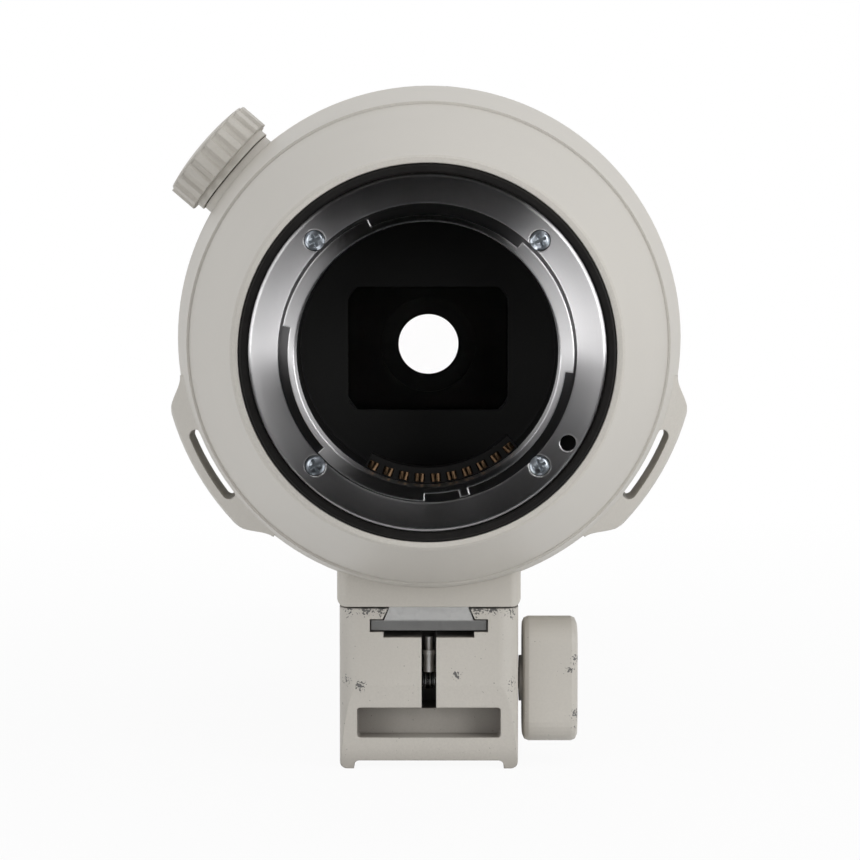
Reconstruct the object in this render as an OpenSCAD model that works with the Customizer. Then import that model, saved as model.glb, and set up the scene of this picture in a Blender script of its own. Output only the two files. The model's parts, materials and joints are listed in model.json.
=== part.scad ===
// Long telephoto zoom lens with a rotating tripod collar and a quick-release foot.
// Frame: origin at the centre of the mount's seat plane, +Y runs forward along the optical axis,
// +X is to the right seen from behind, +Z is up. Clock angles are counter-clockwise seen from behind,
// with 0 at +X. All sizes are in millimetres.

/* [Camera mount] */
// Radius of the metal mount flange
flange_r = 28.5; // [27.5:0.1:29.5]
// Thickness of the mount flange
flange_t = 2.6; // [2.2:0.1:3.4]
// Radius of the clear throat through the mount
throat_r = 20.9; // [20:0.1:21.2]
// Outer radius of the bayonet claws
claw_r = 23.1; // [22.8:0.1:23.4]
// Length of the spigot behind the seat plane
spigot_len = 5.6; // [4.6:0.1:6.4]
// Radius of the circle that the four mount screws sit on
screw_circle_r = 25.3; // [25.2:0.1:25.8]
// Radius of the camera's lock-pin hole
lock_hole_r = 1.3; // [1:0.1:1.5]
// Radial width of the rubber seal round the flange
seal_w = 1.6; // [1.2:0.1:2.2]
// Number of electrical contacts
contact_count = 10; // [6:1:11]

/* [Rear cover] */
// Length from the seat plane to the collar seam
cover_len = 44; // [40:1:50]
// Radius of the cover at the collar seam
cover_front_r = 41.5; // [41:0.1:42]
// Wall thickness of the painted shells
wall = 2.2; // [1.6:0.1:2.6]
// Distance from the seat plane to the light baffle's rear face
baffle_depth = 22.5; // [20:0.5:25]
// Width of the rectangular light baffle opening
baffle_w = 26.6; // [22:0.2:28]
// Height of the rectangular light baffle opening
baffle_h = 20.4; // [16:0.2:22]

/* [Tripod collar] */
// Length of the collar along the optical axis
collar_len = 55.6; // [50:0.2:64]
// Largest radius of the collar
collar_r = 46.5; // [45.8:0.1:47.5]
// Outer radius of the fixed sleeve that the collar turns on
sleeve_r = 40.4; // [40:0.1:40.6]
// Clock angle of the collar's lock knob
knob_clock = 139.5; // [120:0.5:150]
// Radius of the collar's lock knob
knob_r = 10.2; // [8.5:0.1:11.5]
// Number of ribs round the lock knob
knob_ribs = 20; // [14:1:26]
// Clock angle of the right strap lug below the horizontal
lug_drop = 29.8; // [24:0.2:36]
// How far a strap lug stands out from the collar
lug_reach = 2.5; // [2:0.1:3.5]
// Angle that a strap lug spans round the collar
lug_span = 35.2; // [28:0.2:40]
// Angle that a strap slot spans round the collar
strap_slot_span = 18; // [12:0.5:20]
// Radial width of the strap slot
strap_slot_w = 2.7; // [1.6:0.1:3]

/* [Tripod foot] */
// Width of the foot
foot_w = 32.4; // [29:0.2:36]
// Length of the foot along the optical axis
foot_len = 114; // [95:1:130]
// Height from the foot's base to its top
foot_h = 29.5; // [27:0.5:34]
// Thickness of the foot's base plate
base_t = 11; // [9:0.2:12]
// Drop from the optical axis to the top of the foot
foot_drop = 47.9; // [47.5:0.1:49]
// Length of the clamp block along the optical axis
clamp_len = 36; // [32:0.5:40]
// Width of the dovetail plate
dovetail_w = 20.8; // [18:0.2:23]
// Width of the clamp slit
slit_w = 2.64; // [2.2:0.02:3.2]
// Radius of the clamp screw
clamp_screw_r = 2; // [1.5:0.1:3]
// Length of the wing on the clamp knob
wing_l = 22.6; // [18:0.2:24]
// Thickness of the wing on the clamp knob
wing_t = 10; // [8:0.2:12]
// Core radius of the smaller tripod thread
small_thread_r = 3.175; // [3:0.005:3.3]
// Core radius of the larger tripod thread
large_thread_r = 4.76; // [4.5:0.01:5]

/* [Barrel] */
// Length of the section that carries the switches
switch_len = 49.6; // [46:0.2:60]
// Radius of the switch section
barrel_r = 47.8; // [47.4:0.1:48.2]
// Step from the switch section down to the fixed barrel under the turning rings
bearing_step = 1.8; // [1.6:0.1:2.3]
// Length of the focus ring
focus_len = 29.6; // [24:0.2:36]
// How far the focus ring's metal stands out over the switch section
focus_step = 1.2; // [0.8:0.1:1.6]
// Length of the band that carries the focus-hold buttons
button_len = 31.6; // [26:0.2:38]
// How far the button band stands out over the switch section
button_step = 3.4; // [2.8:0.1:3.8]
// Length of the zoom ring
zoom_len = 72.6; // [70:0.2:84]
// How far the zoom ring's metal stands out over the switch section
zoom_step = 4.2; // [3.6:0.1:4.8]
// Height of the rubber grips over their rings
grip_t = 1.4; // [1:0.1:1.8]
// Length of the front barrel
front_len = 32.6; // [30:0.2:38]
// Radius of the front barrel
front_r = 55.75; // [55:0.05:57]
// Radial distance from the front barrel's surface in to the filter thread
front_rim = 8.25; // [7.75:0.05:8.75]

/* [Zoom drive] */
// Turn of the zoom ring from wide to long, in degrees
zoom_turn = 70; // [50:1:80]
// Travel of the front moving group for each radian of the zoom ring
variator_rate = 28; // [22:0.5:28]
// Travel of the rear moving group for each radian of the zoom ring
compensator_rate = 14; // [10:0.5:14]
// Radius of the cam follower pins
follower_r = 1.5; // [1.2:0.1:1.8]
// Inner radius of the fixed guide tube
guide_r = 31; // [30.5:0.1:31.2]
// Travel of the focus group each way
focus_travel = 10; // [6:0.5:12]
// Travel of the stabiliser each way
stabiliser_travel = 1; // [0.5:0.1:1.2]

/* [Iris] */
// Radius of the opening as set
iris_set_r = 5.2; // [4:0.1:6.4]
// Radius of the opening when fully open
iris_open_r = 7.2; // [6.8:0.1:7.4]
// Radius of the circle of blade pivots
iris_pivot_r = 15.2; // [14.8:0.1:15.8]

/* [Controls] */
// Radius of a focus-hold button
button_r = 4.5; // [3.5:0.1:5.5]
// Travel of a focus-hold button
button_travel = 0.8; // [0.5:0.1:1]
// Length of a switch slider
slider_l = 5; // [4:0.2:6]
// Width of a switch slider
slider_w = 3.6; // [3:0.1:4.2]
// Travel of a switch slider
slider_travel = 4; // [3:0.2:5]

/* [Clearances] */
// Seam between neighbouring shells
seam = 0.4; // [0.3:0.05:0.6]
// Free gap between parts that move past each other
gap = 0.3; // [0.25:0.05:0.4]
// Radial clearance of a shaft in its bore
fit = 0.06; // [0.03:0.01:0.1]
// Gap round a fixed piece in its seat
seat_gap = 0.1; // [0.05:0.01:0.15]

/* [Hidden] */
$fn = 96;
paint = "#cdc9c3";
dark = "#262321";
rubber = "#1f1e1d";
steel = "#b9bcc0";
brass = "#b98b46";
glass_tint = "#9fb4bd";
eps = 0.01;

// Stations along the optical axis
y_collar0 = cover_len + seam;
y_collar1 = y_collar0 + collar_len;
y_mid0 = y_collar1 + seam;
y_switch1 = y_mid0 + switch_len;
y_focus0 = y_switch1 + seam;
y_focus1 = y_focus0 + focus_len;
y_button0 = y_focus1 + seam;
y_button1 = y_button0 + button_len;
y_zoom0 = y_button1 + seam;
y_zoom1 = y_zoom0 + zoom_len;
y_front0 = y_zoom1 + seam;
y_front1 = y_front0 + front_len;

// Mount and rear cover
spigot_r = throat_r + 1;
claw_t = 1.4;
claws = [[113.7, 168.8], [222, 269], [-7.2, 49.7], [283, 287]];
ridge_r = spigot_r + 1.9;
relief = 1.7;
flange_chamfer = 0.4;
screw_clocks = [45, 135, 225, 315];
screw_head_r = 1.6;
screw_head_t = 1.1;
screw_sink = 0.15;
screw_dome = 0.4;
cross_l = 2;
cross_w = 0.46;
cross_depth = 0.7;
screw_r = 0.8;
screw_len = 6;
lock_clock = -32.5;
lock_circle_r = (ridge_r + flange_r) / 2 + 0.4;
lock_depth = flange_t - 0.6;
seal_r = flange_r + seat_gap;
seal_outer_r = flange_r + seal_w;
rim_r = seal_outer_r + seat_gap;
rim_w = 0.9;
rim_y = 0.5;
seat_y = flange_t + 5.4;
shield_r = throat_r + 0.3;
shield_t = 1.2;
contact_from = 241;
contact_to = 314;
contact_pitch = 7.37;
contact_y = 0.8;
contact_in = throat_r - 2.6;
pad_l = 1.3;
pad_r = 1;
pad_sink = 0.55;
pad_edge = 0.4;
board_t = 1.6;

// Optics behind the iris
rear_cell_y0 = baffle_depth + 1.5;
rear_cell_r = 27;
rear_glass_r = 16.8;
cell_flange_t = 3;
lip = 1.2;
lip_t = 1;
glass_gap = 0.03;
rear_sag = 0.8;

// Iris
iris_y = cover_len;
iris_blades = 6;
iris_plate_t = 1;
blade_t = 0.2;
blade_pitch = 0.45;
blade_w = 5.5;
blade_lap = 1.2;
drive_out = 5.5;
drive_r = 1;
blade_span = 172;
blade_ear_r = 1.7;
pivot_r = 0.8;
iris_stack = iris_blades * blade_pitch;
iris_ring_t = 2;
iris_wall_r = iris_pivot_r + 12.8;
iris_len = iris_plate_t + iris_stack + iris_ring_t + 3 * gap + 1;
blade_set = 2 * asin((iris_open_r - iris_set_r) / (2 * iris_pivot_r));

// Sleeve and collar
sleeve_t = 3.4;
sleeve_flange_t = 3;
collar_bore_r = sleeve_r + fit;
collar_rear_r = cover_front_r + 0.5;
collar_taper = 33;
collar_chamfer = 1.4;
lug_clocks = [-lug_drop, 180 + lug_drop];
lug_blend = 8.4;
lug_root = 1.1;
lug_steps = 10;
lug_ramp = 9;
lug_ease = 0.6;
lug_y0 = y_collar0 + 24;
lug_w = 10;
lug_wall = 2.1;
strap_slot_r = collar_r + lug_reach - lug_wall - strap_slot_w;
knob_y = y_collar0 + collar_taper + 4.6;
knob_boss_r = 0.84 * knob_r;
knob_boss_h = 0.7;
knob_skirt = 1.4;
knob_band = 5.1;
knob_rim = 0.4;
knob_dome = 0.9;
knob_in = collar_r + knob_boss_h + gap / 2;
lock_screw_r = 2.5;
lock_pad_gap = 0.15;
stem_w = foot_w + 0.8;
stem_inset = 1;
collar_seam = 0.2;
stem_y1 = y_collar1 - stem_inset;
stem_y0 = stem_y1 - clamp_len - 1;
stem_round = 1.6;
stem_corner = 2;

// Dovetail and foot, heights measured from the optical axis
dovetail_top = -foot_drop;
neck_h = 2.5;
plate_h = 1.8;
neck_w0 = dovetail_w - 6.6;
neck_w1 = dovetail_w - 4.6;
dovetail_screw_r = 1.5;
foot_top = -foot_drop - gap;
foot_base = foot_top - foot_h;
foot_y0 = stem_y0;
foot_y1 = foot_y0 + foot_len;
jaw_gap = 0.25;
slot_floor = dovetail_top - neck_h - plate_h - jaw_gap;
relief_w = 16.4;
relief_h = 1;
pocket_h = 5.6;
pocket_d = 7;
pocket_w = foot_w - 6.4;
pocket_z = foot_base + 5.8;
pocket_round = 0.6;
rail_w = 2.6;
rail_h = 1.5;
rail_round = 1;
rail_edge = 1.4;
foot_corner = 3.6;
base_top = foot_base + base_t;
crease_z = foot_top - 14;
rear_slope = 2.6;
throat_fillet = 14;
nose = 4;
screw_z = foot_top - 14.1;
screw_y = foot_y0 + 11;
slit_d = screw_y + clamp_screw_r + 3 - foot_y0;
wing_w = 13;
wing_round = 5;
wing_edge = 1.1;
wing_neck_r = 4.2;
wing_in = foot_w / 2 + 0.9;
stop_pin_r = 1.1;
stop_pin_y = foot_y0 + 4;
small_thread_y = foot_y0 + 50;
large_thread_y = foot_y0 + 72;
thread_depth = base_t - rail_h - 1.5;

// Fixed barrel and rings
bearing_r = barrel_r - bearing_step;
focus_r = barrel_r + focus_step;
button_band_r = barrel_r + button_step;
zoom_r = barrel_r + zoom_step;
focus_grip_in = 3;
zoom_grip_rear = 14;
zoom_grip_front = 5;
mid_rear_r = collar_r - 0.7;
mid_taper = 9;
mid_flange_t = 3;
barrel_in_r = bearing_r - 1.8;
ring_in_r = bearing_r + gap;
land = 6;
panel_t = 1.2;
panel_clock = 200;
panel_half = 25;
panel_y0 = y_mid0 + mid_taper + 1;
panel_y1 = y_switch1 - 2.5;
slider_rows = [-16.5, -5.5, 5.5, 16.5];
slider_rise = 0.7;
slider_y = (panel_y0 + panel_y1) / 2;
button_clocks = [0, 90, 180];
button_y = (y_button0 + y_button1) / 2;
button_rise = 0.9;
dish_r = 30;
dish = 0.4;
button_h = 3.2;

// Guide tube, cam tube and moving groups
guide_t = 1.5;
guide_outer_r = guide_r + guide_t;
guide_y0 = iris_y + iris_len + 0.5;
guide_flange_t = 2;
guide_y1 = y_front0 - 14;
web_t = 3;
web_r = 23.5;
web_y0 = guide_y0 + 17;
rod_r = 1.4;
rod_circle_r = 27.4;
rod_clocks = [90, 210, 330];
cell_r = guide_r - 0.4;
follower_clocks = [30, 150, 270];
slot_r = follower_r + 0.3;
cam_r = guide_outer_r + gap;
cam_t = 1.5;
follower_tip_r = cam_r + cam_t - 0.2;
zoom_rad = zoom_turn * PI / 180;
variator_travel = variator_rate * zoom_rad;
compensator_travel = compensator_rate * zoom_rad;
focus_cell_l = 12;
focus_glass_r = 20;
rod_boss_r = 2.8;
focus_y = web_y0 + web_t + focus_travel + 1;
web_y1 = focus_y + focus_cell_l + focus_travel + 1;
compensator_l = 12;
compensator_glass_r = 22;
compensator_sag = 1.2;
compensator_y = web_y1 + web_t + 8;
variator_l = 16;
variator_glass_r = 25;
variator_split = 7;
variator_y = compensator_y + compensator_l + compensator_travel + 14;
cam_y0 = compensator_y - 2;
key_w = 6;
key_l = 6;
key_y = y_zoom0 + 10;
cam_y1 = max(key_y + key_l, variator_y + variator_l + variator_travel) + 4;
key_clock = 60;
key_out_r = ring_in_r + 1.6;
stabiliser_y = guide_y0 + guide_flange_t + gap;
stabiliser_frame_t = 3;
stabiliser_cell_l = 6;
stabiliser_cell_r = 24.5;
stabiliser_glass_r = 19.5;
stabiliser_cell_y = stabiliser_y + stabiliser_frame_t + gap;
stabiliser_sag = 0.8;

// Front group
filter_r = front_r - front_rim;
front_wall_t = 2;
front_cell_y0 = y_front0 + front_wall_t;
front_cell_r = filter_r + 2.7;
filter_len = 7;
front_cell_y1 = y_front1 - filter_len;
front_bore_r = front_cell_r + seat_gap;
lens_steps = 8;
front_step_y = front_cell_y1 - 9;
front_split = 8.2;
front_vertex = 1.4;
front_sag = 3.6;
front_rear_sag = 1.2;
front_inner_sag = 0.6;
thread_len = 4;
thread_relief = 0.5;
thread_lead = 0.8;
ring_t = 1.4;
front_glass_r = filter_r - 1;
rear_front_glass_r = front_glass_r - 1.6;
hood_lugs = 3;

// Radius of the sphere that sinks by sag over a disc of radius r
function ball_r(r, sag) = (r * r + sag * sag) / (2 * sag);
// Radius of the rear cover's outer cone at a station
function cover_r(y) = rim_r + rim_w + 0.4
    + (cover_front_r - rim_r - rim_w - 0.4) * (y - rim_y - 0.5) / (cover_len - rim_y - 0.5);
// Points of an arc about a centre, in degrees
function arc(c, r, a0, a1, n = 6) = [for (k = [0:n]) let (a = a0 + (a1 - a0) * k / n)
    c + r * [cos(a), sin(a)]];

// A profile of [radius, station] points turned round the optical axis
module revolve(points) rotate([-90, 0, 0]) rotate_extrude() polygon(points);
module tube(r_out, r_in, y0, y1) revolve([[r_in, y0], [r_out, y0], [r_out, y1], [r_in, y1]]);
module disc(r, y0, y1) translate([0, y0, 0]) rotate([-90, 0, 0]) cylinder(r = r, h = y1 - y0);
// A flat outline seen from behind, between two stations
module plate(y0, y1) translate([0, y1, 0]) rotate([90, 0, 0]) linear_extrude(y1 - y0) children();
// An outline of [y, z] points between two places across the lens
module side_plate(x0, x1) translate([x0, 0, 0]) rotate([90, 0, 90]) linear_extrude(x1 - x0) children();
module clock(a) rotate([0, -a, 0]) children();
module radial(a, y, r_in, r_out, r) clock(a) translate([r_in, y, 0]) rotate([0, 90, 0])
    cylinder(r = r, h = r_out - r_in);
module pie(r, a0, a1) polygon(concat([[0, 0]], arc([0, 0], r, a0, a1, ceil(abs(a1 - a0) / 12))));
module ring_part(r_out, r_in, y0, y1, a0, a1) intersection() {
    tube(r_out, r_in, y0, y1);
    plate(y0 - 1, y1 + 1) pie(2 * r_out, a0, a1);
}
module rounded(w, h, r) {
    square([w - 2 * r, h], center = true);
    square([w, h - 2 * r], center = true);
    for (x = [-1, 1], y = [-1, 1]) translate([x * (w / 2 - r), y * (h / 2 - r)]) circle(r = r, $fn = 32);
}
// A toothed outline with flat crests
module ribbed(r_root, r_tip, count) polygon([for (i = [0:count - 1], k = [0:3])
    let (a = (i + [0, 0.14, 0.56, 0.7][k]) * 360 / count, r = [r_root, r_tip, r_tip, r_root][k])
    r * [cos(a), sin(a)]]);

// Height of a lens face above its lowest plane: a positive sag bulges outwards, a negative one is hollow
function face_h(sag, t) = sag > 0 ? sag * t * t : -sag * (1 - t * t);
// Station of the middle of a bulging rear face that rests on a lip of radius r_lip
function on_lip(y_lip, r, r_lip, sag) = y_lip + glass_gap - sag * pow(r_lip / r, 2);
// A lens element between two stations, turned from its two curved faces
module element(r, y0, y1, sag0, sag1) revolve(concat(
    [for (k = [0:lens_steps]) [r * k / lens_steps, y0 + face_h(sag0, k / lens_steps)]],
    [for (k = [lens_steps:-1:0]) [r * k / lens_steps, y1 - face_h(sag1, k / lens_steps)]]));
// A turned cell whose rear lip carries the glass
module cell(r_out, r_glass, y0, y1) revolve([[r_glass - lip, y0], [r_out - 0.5, y0], [r_out, y0 + 0.5],
    [r_out, y1 - 0.5], [r_out - 0.5, y1], [r_glass + seat_gap, y1], [r_glass + seat_gap, y0 + lip_t],
    [r_glass - lip, y0 + lip_t]]);

module mount_ring() color(steel) difference() {
    union() {
        revolve([[throat_r, -spigot_len], [spigot_r, -spigot_len], [spigot_r, relief], [ridge_r, relief],
            [ridge_r, 0], [flange_r - flange_chamfer, 0], [flange_r, flange_chamfer], [flange_r, flange_t],
            [throat_r, flange_t]]);
        for (c = claws) ring_part(claw_r, throat_r + 0.5, -spigot_len, -spigot_len + claw_t, c[0], c[1]);
    }
    for (a = screw_clocks) clock(a) translate([screw_circle_r, 0, 0]) {
        disc(screw_r + seat_gap, -1, flange_t + 1);
        disc(screw_head_r + seat_gap, -1, screw_sink + screw_head_t);
    }
    clock(lock_clock) translate([lock_circle_r, 0, 0]) disc(lock_hole_r, -1, lock_depth);
}

module mount_screws() color(steel) for (a = screw_clocks) clock(a) translate([screw_circle_r, 0, 0])
    difference() {
        union() {
            revolve(concat([for (k = [0:3]) [screw_head_r * k / 3, screw_sink + screw_dome * pow(k / 3, 2)]],
                [[screw_head_r, screw_sink + screw_head_t], [0, screw_sink + screw_head_t]]));
            disc(screw_r, screw_sink + screw_head_t - eps, screw_sink + screw_len);
        }
        for (t = [0, 90]) rotate([0, t + 20, 0]) translate([-cross_l / 2, screw_sink - 1, -cross_w / 2])
            cube([cross_l, 1 + cross_depth, cross_w]);
    }

module mount_seal() color(rubber) revolve([[seal_r, flange_t], [seal_r, 0.5], [seal_r + 0.35, 0.15],
    [seal_outer_r - 0.4, 0.15], [seal_outer_r, 0.6], [seal_outer_r, flange_t]]);

module contact_block() color(dark) union() {
    ring_part(throat_r - seat_gap, contact_in, contact_y, flange_t + 3, contact_from, contact_to);
    ring_part(shield_r - seat_gap, contact_in, flange_t + seat_gap, flange_t + 3, contact_from, contact_to);
}

module contact_pins() color(brass) for (i = [0:contact_count - 1])
    clock((contact_from + contact_to) / 2 + (i - (contact_count - 1) / 2) * contact_pitch)
        intersection() {
            translate([throat_r - pad_edge - pad_l, contact_y + pad_sink, 0]) rotate([0, 90, 0])
                cylinder(r = pad_r, h = pad_l);
            translate([0, contact_y - 2 * pad_r, -pad_r]) cube([throat_r, 2 * pad_r, 2 * pad_r]);
        }

module rear_baffle() color(dark) difference() {
    tube(shield_r + shield_t, eps, flange_t, rear_cell_y0);
    disc(shield_r, flange_t - 1, baffle_depth);
    plate(baffle_depth - 1, rear_cell_y0 + 1) rounded(baffle_w, baffle_h, 2);
}

module rear_cover() color(paint) difference() {
    revolve([[shield_r + shield_t + seat_gap, flange_t], [rim_r, flange_t], [rim_r, rim_y],
        [rim_r + rim_w, rim_y], [rim_r + rim_w + 0.4, rim_y + 0.5], [cover_front_r, cover_len],
        [cover_front_r - wall, cover_len], [cover_r(seat_y) - wall, seat_y],
        [shield_r + shield_t + seat_gap, seat_y]]);
    for (a = screw_clocks) clock(a) translate([screw_circle_r, 0, 0])
        disc(screw_r + seat_gap, 0, seat_y + 1);
}

module circuit_board() color("#2f5a3c") difference() {
    tube(cover_r(seat_y) - wall - 0.6, shield_r + shield_t + 0.4, seat_y, seat_y + board_t);
    for (a = screw_clocks) clock(a) translate([screw_circle_r, 0, 0]) disc(2, seat_y - 1, seat_y + 3);
}

module rear_lens_cell() color(dark) revolve([[rear_glass_r - lip, rear_cell_y0],
    [rear_cell_r, rear_cell_y0], [rear_cell_r, cover_len - cell_flange_t],
    [sleeve_r - sleeve_t + seat_gap, cover_len - cell_flange_t], [sleeve_r - sleeve_t + seat_gap, cover_len],
    [rear_glass_r + seat_gap, cover_len], [rear_glass_r + seat_gap, rear_cell_y0 + lip_t],
    [rear_glass_r - lip, rear_cell_y0 + lip_t]]);

module rear_lens() color(glass_tint) {
    element(rear_glass_r, on_lip(rear_cell_y0 + lip_t, rear_glass_r, rear_glass_r - lip, rear_sag),
        rear_cell_y0 + 8, rear_sag, 2);
    element(rear_glass_r, rear_cell_y0 + 9, cover_len - 1, -2, -1.5);
}

module iris_housing() color(dark) union() {
    difference() {
        disc(iris_wall_r, iris_y, iris_y + iris_len);
        disc(iris_wall_r - 2, iris_y + iris_plate_t, iris_y + iris_len + 1);
        disc(iris_open_r + 1, iris_y - 1, iris_y + iris_len);
    }
    for (i = [0:iris_blades - 1]) clock(i * 360 / iris_blades) translate([iris_pivot_r, 0, 0])
        disc(pivot_r, iris_y + iris_plate_t / 2, iris_y + iris_plate_t + gap + iris_stack);
}

module iris_ring() color("#3a3a3c") difference() {
    tube(iris_wall_r - 2 - gap, iris_pivot_r + pivot_r + 1, iris_y + iris_len - iris_ring_t - 0.7,
        iris_y + iris_len - 0.7);
    for (i = [0:iris_blades - 1])
        clock(i * 360 / iris_blades + 30) translate([iris_pivot_r + drive_out, 0, 0])
        disc(drive_r, iris_y, iris_y + iris_len);
}

// One crescent blade, swung about its pivot to the set opening, where the blades together leave a round hole
module iris_blade(i) color("#1c1c1e") {
    y0 = iris_y + iris_plate_t + gap + i * blade_pitch;
    plate(y0, y0 + blade_t) rotate(i * 360 / iris_blades) difference() {
        translate([iris_pivot_r, 0]) rotate(blade_set) union() {
            translate([-iris_pivot_r, 0]) intersection() {
                difference() {
                    circle(r = iris_open_r + blade_w);
                    circle(r = iris_open_r - blade_lap);
                }
                pie(2 * iris_pivot_r, -6, blade_span);
            }
            translate([-blade_ear_r, 0]) square([2 * blade_ear_r, 2 * blade_ear_r], center = true);
            circle(r = blade_ear_r, $fn = 32);
        }
        translate([iris_pivot_r, 0]) circle(r = pivot_r + fit, $fn = 32);
        circle(r = iris_set_r);
    }
}

module collar_sleeve() color(dark) revolve([[iris_wall_r + seat_gap, cover_len], [sleeve_r, cover_len],
    [sleeve_r, y_mid0], [sleeve_r - sleeve_t, y_mid0], [sleeve_r - sleeve_t, cover_len + sleeve_flange_t],
    [iris_wall_r + seat_gap, cover_len + sleeve_flange_t]]);

module mid_barrel() color(paint) difference() {
    revolve([[sleeve_r - sleeve_t, y_mid0], [mid_rear_r, y_mid0], [barrel_r - 0.6, y_mid0 + mid_taper - 1],
        [barrel_r, y_mid0 + mid_taper + 0.5], [barrel_r, y_switch1 - 0.4], [barrel_r - 0.4, y_switch1],
        [bearing_r, y_switch1], [bearing_r, y_front0], [barrel_in_r, y_front0],
        [barrel_in_r, y_mid0 + mid_flange_t], [sleeve_r - sleeve_t, y_mid0 + mid_flange_t]]);
    plate(key_y - 1, key_y + key_l + 1) difference() {
        pie(barrel_r, key_clock - zoom_turn - 6, key_clock + 6);
        circle(r = barrel_in_r - 1);
    }
}

module switch_plate() color("#b9b6b0") difference() {
    ring_part(barrel_r + panel_t, barrel_r + seat_gap / 2, panel_y0, panel_y1,
        panel_clock - panel_half, panel_clock + panel_half);
    for (row = slider_rows) clock(panel_clock + row)
        translate([barrel_r - 1, slider_y - slider_l / 2 - gap, -slider_w / 2 - gap])
            cube([4, slider_l + slider_travel + 2 * gap, slider_w + 2 * gap]);
}

// A switch slider with finger ribs, standing out through the panel
module slider(row) color(dark) clock(panel_clock + slider_rows[row]) difference() {
    translate([barrel_r + gap, slider_y - slider_l / 2, -slider_w / 2])
        cube([panel_t + slider_rise - gap, slider_l, slider_w]);
    for (k = [-1:1]) translate([barrel_r + panel_t + slider_rise, slider_y + k * slider_l / 4, -slider_w])
        rotate([0, 0, 45]) translate([-0.3, -0.3, 0]) cube([0.6, 0.6, 2 * slider_w]);
}

module button_band() color(paint) difference() {
    revolve([[bearing_r + seat_gap / 2, y_button0], [button_band_r - 1, y_button0],
        [button_band_r - 0.5, y_button0 + 0.6], [button_band_r, y_button0 + 6],
        [button_band_r, y_button1 - 0.6], [button_band_r - 0.6, y_button1],
        [bearing_r + seat_gap / 2, y_button1]]);
    for (a = button_clocks) {
        radial(a, button_y, button_band_r - button_h, button_band_r + 5, button_r + gap);
        radial(a, button_y, button_band_r - 0.5, button_band_r + 5, button_r + 1.2);
    }
}

// A focus-hold button with a dished face
module hold_button(i) color("#a9a6a1") difference() {
    radial(button_clocks[i], button_y, button_band_r - button_h + button_travel + gap,
        button_band_r + button_rise, button_r);
    clock(button_clocks[i]) translate([button_band_r + button_rise + dish_r - dish, button_y, 0])
        sphere(r = dish_r);
}

// Fixed tube with straight slots that keep the moving groups from turning
module guide_tube() color("#4a4a4c") difference() {
    union() {
        tube(guide_outer_r, guide_r, guide_y0, guide_y1);
        tube(sleeve_r - sleeve_t - seat_gap, guide_r - 4, guide_y0, guide_y0 + guide_flange_t);
        tube(barrel_in_r - seat_gap, guide_r + 0.5, guide_y1 - guide_flange_t, guide_y1);
        for (y = [web_y0, web_y1]) tube(guide_r + 0.5, web_r, y, y + web_t);
    }
    for (a = rod_clocks) clock(a) translate([rod_circle_r, 0, 0])
        disc(rod_r + seat_gap, web_y0 - 1, web_y1 + web_t + 1);
    for (a = follower_clocks) {
        straight_slot(a, compensator_y + compensator_l / 2, compensator_travel);
        straight_slot(a, variator_y + variator_l / 2, variator_travel);
    }
}

// A slot along the axis for a follower pin
module straight_slot(a, y, travel) {
    for (d = [0, travel]) radial(a, y + d, guide_r - 2, guide_outer_r + 2, slot_r);
    clock(a) translate([guide_r - 2, y, -slot_r]) cube([guide_t + 4, travel, 2 * slot_r]);
}

// A helical slot that turns the zoom ring's motion into travel along the axis
module cam_slot(a, y, rate) {
    run = follower_r + 1;
    lead = run / rate * 180 / PI;
    reach = slot_r / sin(atan(rate / cam_r));
    translate([0, y + rate * zoom_rad + run, 0]) rotate([90, 0, 0]) rotate(a + zoom_turn + lead)
        linear_extrude(height = rate * zoom_rad + 2 * run, twist = zoom_turn + 2 * lead, slices = 20, $fn = 4)
            translate([cam_r - 1, -reach]) square([cam_t + 2, 2 * reach]);
}

module cam_tube() color("#8d8f92") difference() {
    tube(cam_r + cam_t, cam_r, cam_y0, cam_y1);
    for (a = follower_clocks) {
        cam_slot(a, compensator_y + compensator_l / 2, compensator_rate);
        cam_slot(a, variator_y + variator_l / 2, variator_rate);
    }
}

module zoom_key() color(steel) clock(key_clock) translate([cam_r + cam_t, key_y, -key_w / 2])
    cube([key_out_r - cam_r - cam_t, key_l, key_w]);

module zoom_ring() color(paint) difference() {
    revolve([[ring_in_r, y_zoom0], [zoom_r - 0.6, y_zoom0], [zoom_r, y_zoom0 + 0.6], [zoom_r, y_zoom1 - 0.6],
        [zoom_r - 0.6, y_zoom1], [ring_in_r, y_zoom1], [ring_in_r, y_zoom1 - land],
        [zoom_r - wall, y_zoom1 - land], [zoom_r - wall, key_y + key_l + 2], [ring_in_r, key_y + key_l + 2]]);
    clock(key_clock) translate([ring_in_r - 2, key_y - seat_gap, -key_w / 2 - seat_gap])
        cube([key_out_r - ring_in_r + 2 + seat_gap, key_l + 2 * seat_gap, key_w + 2 * seat_gap]);
}

module zoom_grip() color(rubber) plate(y_zoom0 + zoom_grip_rear, y_zoom1 - zoom_grip_front) difference() {
    ribbed(zoom_r + 0.5 * grip_t, zoom_r + grip_t, 90);
    circle(r = zoom_r + seat_gap / 2, $fn = 360);
}

module focus_ring() color(paint) revolve([[ring_in_r, y_focus0], [focus_r - 0.5, y_focus0],
    [focus_r, y_focus0 + 0.5], [focus_r, y_focus1 - 0.5], [focus_r - 0.5, y_focus1], [ring_in_r, y_focus1]]);

module focus_grip() color(rubber) plate(y_focus0 + focus_grip_in, y_focus1 - focus_grip_in) difference() {
    ribbed(focus_r + 0.5 * grip_t, focus_r + grip_t, 90);
    circle(r = focus_r + seat_gap / 2, $fn = 360);
}

// A sliding cell with three follower pins
module follower_cell(y, l, r_glass) union() {
    cell(cell_r, r_glass, y, y + l);
    for (a = follower_clocks) radial(a, y + l / 2, cell_r - 1, follower_tip_r, follower_r);
}

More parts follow.
